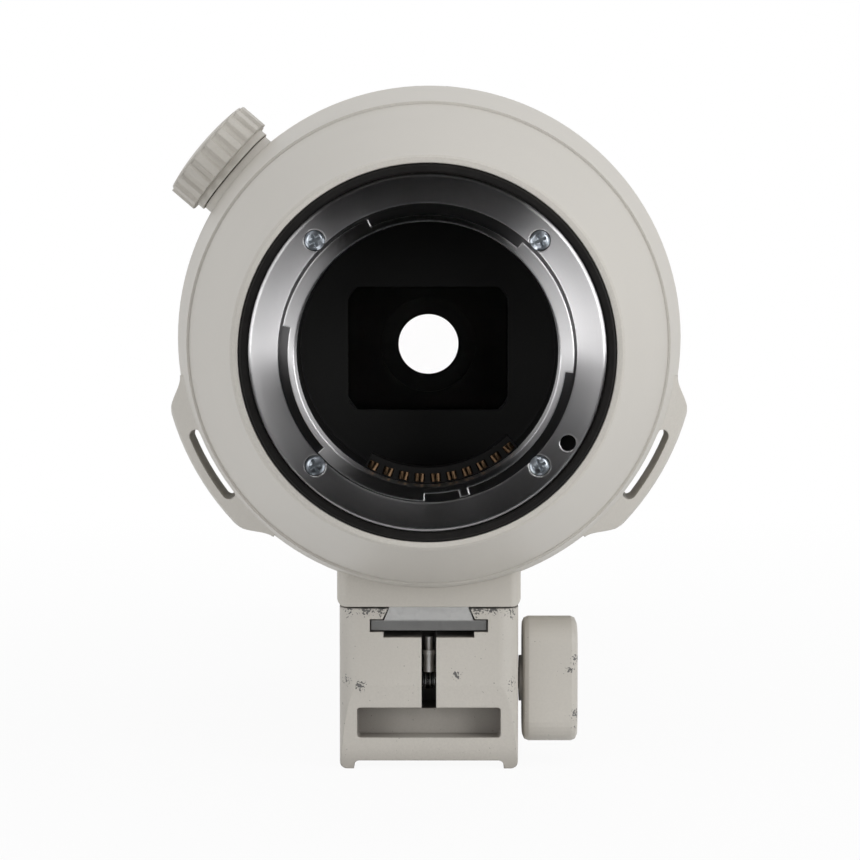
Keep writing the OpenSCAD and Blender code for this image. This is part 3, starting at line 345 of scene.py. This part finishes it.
def turned(name, color, roughness):
    """Lathe-turned metal: fine rings round the optical axis and highlights that fan out along the radius.

    Painted shade darkens what is sunk from the seat plane outside the spigot: the groove, and most of all
    the pin hole and the screw holes.
    """
    f = Finish(name, color, roughness, metallic=1.0)
    ring_inputs = {"W": f.math("MULTIPLY", f.axis_radius(), TURNED_RING_SCALE), "Detail": RING_DETAIL}
    rings = f.add("ShaderNodeTexNoise", ring_inputs, noise_dimensions="1D").outputs["Fac"]
    smudge = f.noise(SMUDGE_SCALE, detail=3)
    f.put("Anisotropic", 1.0)
    f.put("Anisotropic Rotation", RADIAL_TURN)
    f.put("Tangent", f.add("ShaderNodeTangent", direction_type="RADIAL", axis="Y").outputs["Tangent"])
    rough = roughness + SMUDGE_ROUGHNESS
    f.put("Roughness", f.remap(smudge, low=0.35, high=0.75, to_low=roughness, to_high=rough))
    depth = f.coordinate("Y")
    outside = f.math("GREATER_THAN", f.axis_radius(), SPIGOT_R)
    # Painted shade in the groove and, darker, in the holes
    groove = f.math("MULTIPLY", f.remap(depth, *GROOVE_SHADE_DEPTHS), outside)
    hole = f.math("MULTIPLY", f.remap(depth, *HOLE_SHADE_DEPTHS), outside)
    bright = f.mix(f.remap(rings, *NOISE_BAND), shade(color, RING_TONE), color)
    grooved = f.mix(groove, bright, shade(color, GROOVE_SHADE_TONE))
    f.put("Base Color", f.mix(hole, grooved, shade(color, HOLE_SHADE_TONE)))
    f.soften(MOUNT_EDGE)
    return f


def threaded(name, color, roughness, axis, pitch):
    """Metal with thread grooves across an axis, their roots painted darker as shade."""
    f = Finish(name, color, roughness, metallic=1.0)
    ridge = f.math("SINE", f.math("MULTIPLY", f.coordinate(axis), 2 * math.pi / pitch))
    scuff = f.noise(THREAD_SCUFF_SCALE, detail=3)
    # Painted shade in the thread roots
    f.put("Base Color", f.mix(f.remap(ridge, low=-0.9, high=0.4), shade(color, THREAD_ROOT_SHADE), color))
    f.put("Roughness", f.remap(scuff, *NOISE_BAND, roughness, roughness + THREAD_ROUGHNESS))
    f.bump(ridge, strength=0.8, depth=pitch / 4)
    return f


def metal(name, color, roughness):
    """Plain machined or plated metal with fine scuffs."""
    f = Finish(name, color, roughness, metallic=1.0)
    scuff = f.noise(SCUFF_SCALE, detail=3, stretch=SCUFF_STRETCH)
    f.put("Roughness", f.remap(scuff, *NOISE_BAND, roughness, roughness + SCUFF_ROUGHNESS))
    f.put("Base Color", f.mix(scuff, shade(color, SCUFF_TONE), color))
    f.soften(METAL_EDGE)
    f.bump(scuff, strength=0.04, depth=0.01 * MM)
    return f


def dovetail_metal(name, color, roughness):
    """Machined metal, lighter on the sloping neck and darker on the plate that slides in the foot."""
    f = metal(name, color, roughness)
    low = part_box("dovetail_plate")[0].z
    fades, ends = (low + height for height in PLATE_TONE_HEIGHTS)
    on_plate = f.remap(f.coordinate("Z"), fades, ends, to_low=1.0, to_high=0.0)
    f.put("Base Color", f.mix(on_plate, color, shade(color, PLATE_TONE)))
    return f


def moulded(name, color, roughness, grain=MOULD_GRAIN_SCALE):
    """Moulded plastic with a fine spark-eroded grain."""
    f = Finish(name, color, roughness)
    f.soften(MOULD_EDGE)
    speck = f.noise(grain, detail=2)
    dark, light = (shade(color, tone) for tone in GRAIN_TONES)
    f.put("Base Color", f.mix(speck, dark, light))
    f.put("Roughness", f.remap(speck, *NOISE_BAND, *(roughness + change for change in GRAIN_ROUGHNESS)))
    f.bump(speck, strength=0.2, depth=0.02 * MM)
    return f


def rubber(name, color):
    """Soft rubber with a dusty bloom."""
    f = Finish(name, color, roughness=0.62)
    dust = f.noise(DUST_SCALE, detail=4)
    f.put("Base Color", f.mix(f.remap(dust, low=0.45, high=0.8), color, shade(color, DUST_TONE)))
    f.put("Roughness", f.remap(dust, low=0.3, high=0.8, to_low=0.56, to_high=0.74))
    f.bump(f.noise(RUBBER_GRAIN_SCALE, detail=1), strength=0.25, depth=0.02 * MM)
    return f


def glass(name, film_ior):
    """Glass that lets light straight through. A film denser than air reflects a faint colour."""
    f = Finish(name, WHITE, roughness=0.0)
    f.put("Transmission Weight", 1.0)
    f.put("IOR", CLEAR_IOR)
    f.put("Thin Film Thickness", FILM_NM)
    f.put("Thin Film IOR", film_ior)
    haze = f.noise(HAZE_SCALE, detail=3)
    f.put("Base Color", f.mix(f.remap(haze, low=0.5, high=0.9), WHITE, GLASS_HAZE))
    return f


paint = painted("paint_shell", PAINT)
barrel_paint = lined(painted("paint_barrel", PAINT))
foot_paint = painted("paint_foot", FOOT_PAINT)
foot_low, foot_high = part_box("foot")
# Painted shade in the foot's corners, pocket and slit
shade_recesses(foot_paint)
chip(foot_paint, [((x * MM, foot_low.y, foot_high.z - drop * MM), reach * MM)
                  for x, drop, reach in FOOT_CHIPS])
wing_paint = painted("paint_wing", PAINT)
wing_low, wing_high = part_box("foot_knob")
chip(wing_paint, [((wing_high.x - inset * MM, wing_low.y, wing_high.z - drop * MM), reach * MM)
                  for inset, drop, reach in WING_CHIPS])
mount_metal = turned("mount_metal", MOUNT_STEEL, roughness=0.28)
bare_aluminium = dovetail_metal("bare_aluminium", ALUMINIUM, roughness=0.38)
screw_metal = metal("screw_zinc", ZINC, roughness=0.28)
pin_steel = metal("pin_steel", PIN_STEEL, roughness=0.3)
clamp_thread = threaded("clamp_thread", THREAD_STEEL, roughness=0.2, axis="X", pitch=CLAMP_PITCH)
filter_thread = threaded("filter_thread", THREAD_BLACK, roughness=0.4, axis="Y", pitch=FILTER_PITCH)
seal_rubber = rubber("seal_rubber", SEAL_RUBBER)
seal_rubber.put("Specular IOR Level", 0.25)
grip_rubber = rubber("grip_rubber", GRIP_RUBBER)
contact_gold = metal("contact_gold", GOLD, roughness=0.12)
black_plastic = moulded("black_plastic", BLACK, roughness=0.55)
contact_black = moulded("contact_black", BLACK, roughness=0.55)
contact_black.put("Specular IOR Level", 0.2)
black_metal = moulded("black_anodised", ANODISED_BLACK, roughness=0.45, grain=ANODISED_GRAIN_SCALE)
blade_black = moulded("iris_blade_black", BLADE_BLACK, roughness=0.5)
panel_plastic = moulded("panel_plastic", PANEL_GREY, roughness=0.48)
button_plastic = moulded("button_plastic", BUTTON_GREY, roughness=0.5)
board_green = moulded("board_green", BOARD_GREEN, roughness=0.35)
front_glass = glass("coated_glass", FILM_IOR)
inner_glass = glass("inner_glass", CLEAR_IOR)
print_ink = moulded("print_ink", INK, roughness=0.5)

NODE_FINISH = {
    paint: ["rear_cover", "tripod_collar", "collar_knob"],
    wing_paint: ["foot_knob"],
    barrel_paint: ["mid_barrel", "button_band", "zoom_ring", "focus_ring", "front_barrel"],
    foot_paint: ["foot"],
    mount_metal: ["mount_ring"],
    bare_aluminium: ["dovetail_plate"],
    screw_metal: ["mount_screws", "dovetail_screws"],
    pin_steel: ["foot_stop_pin", "collar_lock_screw", "focus_rods", "zoom_key"],
    clamp_thread: ["foot_clamp_screw"],
    filter_thread: ["filter_ring"],
    seal_rubber: ["mount_seal"],
    grip_rubber: ["zoom_grip", "focus_grip"],
    contact_gold: ["contact_pins"],
    contact_black: ["contact_block"],
    black_plastic: ["rear_baffle", "front_lens_cell", "front_retaining_ring", "iris_housing",
                    "focus_mode_switch", "focus_limit_switch", "stabiliser_switch",
                    "stabiliser_mode_switch"],
    black_metal: ["rear_lens_cell", "collar_sleeve", "guide_tube", "cam_tube", "variator_cell",
                  "compensator_cell", "focus_cell", "stabiliser_frame", "stabiliser_cell", "iris_ring"],
    blade_black: [f"iris_blade_{i}" for i in range(1, 7)],
    panel_plastic: ["switch_plate"],
    button_plastic: ["hold_button_right", "hold_button_top", "hold_button_left"],
    board_green: ["circuit_board"],
    front_glass: ["front_lens"],
    inner_glass: ["rear_lens", "variator_lens", "compensator_lens", "focus_lens", "stabiliser_lens"],
}
for finish, names in NODE_FINISH.items():
    for name in names:
        slots = nodes[name].data.materials
        slots.clear()
        slots.append(finish.material)


def link(name, data):
    obj = bpy.data.objects.new(name, data)
    bpy.context.scene.collection.objects.link(obj)
    return obj


# Printed marks, laid on the surface that carries them. Sizes and stations along y are in mm

INK_LIFT = 0.03 * MM
RAY_START = 90 * MM
ZOOM_SCALE = {"200": 90, "300": 115, "400": 133, "500": 148, "600": 160}  # focal length: clock angle
ZOOM_TEXT = 4.6
ZOOM_TEXT_Y = 219.6
ZOOM_TICK = (0.5, 2.4)
ZOOM_TICK_Y = 214.6
INDEX_BAR = (0.8, 6)
INDEX_CLOCK = 90
INDEX_Y = 207.6
TURN_BAR = (0.7, 4)
COLLAR_CLOCKS = (0, 90, 180)
COLLAR_Y = 94.5
BARREL_CLOCKS = (0, 90, 180, 270)
BARREL_Y = 103.5
SWITCH_TEXT = 3.0
SWITCH_TEXT_Y = (120.5, 141.0)
SWITCH_WORDS = {
    "focus_mode_switch": ("AF", "MF"),
    "focus_limit_switch": ("FULL", "LIMIT"),
    "stabiliser_switch": ("ON", "OFF"),
    "stabiliser_mode_switch": ("1", "2"),
}


def lettering(words, height):
    """Flat text as (points, faces), centred on the origin."""
    curve = bpy.data.curves.new("lettering", "FONT")
    curve.body = words
    curve.size = height
    curve.align_x = "CENTER"
    curve.align_y = "CENTER"
    text = link("lettering", curve)
    mesh = bpy.data.meshes.new_from_object(text.evaluated_get(bpy.context.evaluated_depsgraph_get()))
    flat = [vertex.co.xy for vertex in mesh.vertices], [tuple(face.vertices) for face in mesh.polygons]
    for block in (text, curve, mesh):
        bpy.data.batch_remove([block])
    return flat


def bar(width, height):
    """A flat bar as (points, faces), centred on the origin."""
    corners = [(x * width / 2, y * height / 2) for x, y in SQUARE]
    return corners, [(0, 1, 2, 3)]


def printed(name, body, node, marks):
    """One piece of ink on a node, from marks, each (flat shape, clock angle, y, sideways).

    Text is upright to a reader behind the lens, or runs towards the mount where it is sideways.
    """
    points, faces = [], []
    for (flat_points, flat_faces), clock, y, sideways in marks:
        first = len(points)
        turn = math.radians(clock)
        for u, v in flat_points:
            across, along = (v, -u) if sideways else (u, v)
            height = (y + along) * MM
            start = Vector((math.cos(turn), 0, math.sin(turn))) * RAY_START
            start.y = height
            hit = nodes[node].ray_cast(start, Vector((-start.x, 0, -start.z)))[1]
            surface = hit.xz.length
            angle = turn - across * MM / surface
            lifted = surface + INK_LIFT
            points.append((lifted * math.cos(angle), height, lifted * math.sin(angle)))
        faces += [tuple(first + index for index in face) for face in flat_faces]
    mesh = bpy.data.meshes.new(name)
    mesh.from_pydata(points, [], faces)
    mesh.materials.append(print_ink.material)
    piece = link(name, mesh)
    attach(piece, body)


bpy.context.view_layer.update()
zoom_words = [(lettering(focal, ZOOM_TEXT), clock, ZOOM_TEXT_Y, False)
              for focal, clock in ZOOM_SCALE.items()]
zoom_ticks = [(bar(*ZOOM_TICK), clock, ZOOM_TICK_Y, False) for clock in ZOOM_SCALE.values()]
printed("zoom_scale", "zoom_drive", "zoom_ring", zoom_words + zoom_ticks)
printed("zoom_index", "barrel", "button_band", [(bar(*INDEX_BAR), INDEX_CLOCK, INDEX_Y, False)])
printed("collar_marks", "collar", "tripod_collar",
        [(bar(*TURN_BAR), clock, COLLAR_Y, False) for clock in COLLAR_CLOCKS])
printed("barrel_marks", "barrel", "mid_barrel",
        [(bar(*TURN_BAR), clock, BARREL_Y, False) for clock in BARREL_CLOCKS])
switch_marks = []
for switch, words in SWITCH_WORDS.items():
    low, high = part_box(switch)
    middle = (low + high) / 2
    switch_clock = math.degrees(math.atan2(middle.z, middle.x))
    for word, y in zip(words, SWITCH_TEXT_Y):
        switch_marks.append((lettering(word, SWITCH_TEXT), switch_clock, y, True))
printed("switch_words", "barrel", "switch_plate", switch_marks)


# Camera

CAMERA_AT = (2.1 * MM, -480 * MM, 16.9 * MM)
CAMERA_PITCH_DOWN = 3.469
CAMERA_YAW_LEFT = 0.2
CAMERA_CLIP = 0.01
PHOTO_SIDE_PX = 860
FOCAL_PX = 3024
SENSOR_MM = 36.0
LIGHT_BOUNCES = 28  # enough to see through every lens element

camera_data = bpy.data.cameras.new("camera")
camera_data.sensor_width = SENSOR_MM
camera_data.lens = FOCAL_PX / PHOTO_SIDE_PX * SENSOR_MM
camera_data.clip_start = CAMERA_CLIP
camera = link("camera", camera_data)
camera.location = CAMERA_AT
camera.rotation_euler = (math.radians(90 - CAMERA_PITCH_DOWN), 0, math.radians(CAMERA_YAW_LEFT))
scene = bpy.context.scene
scene.camera = camera
scene.view_settings.view_transform = "Standard"
scene.cycles.max_bounces = LIGHT_BOUNCES
scene.cycles.transmission_bounces = LIGHT_BOUNCES


# Lamps and surroundings

SKY_STRENGTH = 0.25
BACKDROP_STRENGTH = 1.0  # white
REAR_TARGET = (0, 0.03, 0)
BARREL_TARGET = (0, 0.1, 0)


def softbox(name, at, target, width, height, watts):
    data = bpy.data.lights.new(name, "AREA")
    data.shape = "RECTANGLE"
    data.size = width
    data.size_y = height
    data.energy = watts
    lamp = link(name, data)
    lamp.location = at
    lamp.rotation_euler = (Vector(target) - Vector(at)).to_track_quat("-Z", "Y").to_euler()
    return lamp


softbox("key_right", at=(0.75, -0.55, 0.28), target=REAR_TARGET, width=0.55, height=0.85, watts=5.7)
softbox("fill_left", at=(-0.75, -0.55, 0.20), target=REAR_TARGET, width=0.55, height=0.85, watts=3.5)
overhead = softbox("overhead", at=(0.1, 0.15, 1.1), target=BARREL_TARGET, width=1.2, height=1.2, watts=5)
overhead.visible_glossy = False

world = bpy.data.worlds.new("studio")
scene.world = world
world.use_nodes = True
surroundings = Wiring(world.node_tree)
ambient = world.node_tree.nodes["Background"]
surroundings.feed(ambient.inputs["Color"], (*SKY, 1.0))
surroundings.feed(ambient.inputs["Strength"], SKY_STRENGTH)
backdrop = surroundings.add("ShaderNodeBackground", {"Color": (*WHITE, 1.0), "Strength": BACKDROP_STRENGTH})
surroundings.show("World Output", surroundings.background_rays(),
                  ambient.outputs["Background"], backdrop.outputs["Background"])


# Floor, which looks white but keeps the object's shadow near it

FLOOR_HALF = 6.0
FLOOR_WHITE = 0.94  # share of plain white near the object
FLOOR_SHADOW_REACH = (0.15, 0.6)  # distances where the rest of it starts to fade and is gone


def flat_sheet(name, corners, finish):
    mesh = bpy.data.meshes.new(name)
    mesh.from_pydata(corners, [], [tuple(range(len(corners)))])
    mesh.materials.append(finish.material)
    obj = link(name, mesh)
    return obj


floor_z = cad_box[0][2]
floor_finish = Finish("floor_white", FLOOR_GREY, roughness=0.9)
floor_reach = floor_finish.vector("LENGTH", floor_finish.place)["Value"]
whiteness = floor_finish.remap(floor_reach, *FLOOR_SHADOW_REACH, to_low=FLOOR_WHITE)
glow = floor_finish.add("ShaderNodeEmission", {"Color": (*WHITE, 1.0), "Strength": BACKDROP_STRENGTH})
share = floor_finish.math("MULTIPLY", floor_finish.background_rays(), whiteness)
floor_finish.show("Material Output", share, floor_finish.shader.outputs["BSDF"], glow.outputs["Emission"])
flat_sheet("floor", [(x * FLOOR_HALF, y * FLOOR_HALF, floor_z) for x, y in SQUARE], floor_finish)


# Dark flags round the camera, seen in reflections only. They leave a low white window on each side, so
# the turned metal is black at its top and bottom and has bright fans to the left and right

FLAG_CENTRE_X = 0.2
FLAG_SIDE_X = 2.0
FLAG_FRONT_Y = -0.02
FLAG_BACK_Y = -0.9
FLAG_LOW_Z = floor_z + MM
FLAG_TOP_Z = 0.75
LEFT_WINDOW_Z = 0.14
RIGHT_WINDOW_Z = 0.22
FLAGS = {  # ends in x, then the two long edges as (y, z)
    "flag_centre": ((-FLAG_CENTRE_X, FLAG_CENTRE_X), (FLAG_BACK_Y, FLAG_LOW_Z), (FLAG_BACK_Y, FLAG_TOP_Z)),
    "flag_left": ((-FLAG_SIDE_X, 0), (FLAG_BACK_Y, LEFT_WINDOW_Z), (FLAG_BACK_Y, FLAG_TOP_Z)),
    "flag_right": ((0, FLAG_SIDE_X), (FLAG_BACK_Y, RIGHT_WINDOW_Z), (FLAG_BACK_Y, FLAG_TOP_Z)),
    "flag_above": ((-FLAG_SIDE_X, FLAG_SIDE_X), (FLAG_FRONT_Y, FLAG_TOP_Z), (FLAG_BACK_Y, FLAG_TOP_Z)),
    "flag_below": ((-FLAG_SIDE_X, FLAG_SIDE_X), (FLAG_FRONT_Y, FLAG_LOW_Z), (FLAG_BACK_Y, FLAG_LOW_Z)),
}

flag_finish = Finish("flag_black", FLAG_BLACK, roughness=0.5)
flag_finish.put("Specular IOR Level", 0.0)
for name, ((x0, x1), first, second) in FLAGS.items():
    flag = flat_sheet(name, [(x0, *first), (x1, *first), (x1, *second), (x0, *second)], flag_finish)
    flag.visible_camera = False
    flag.visible_diffuse = False
    flag.visible_shadow = False
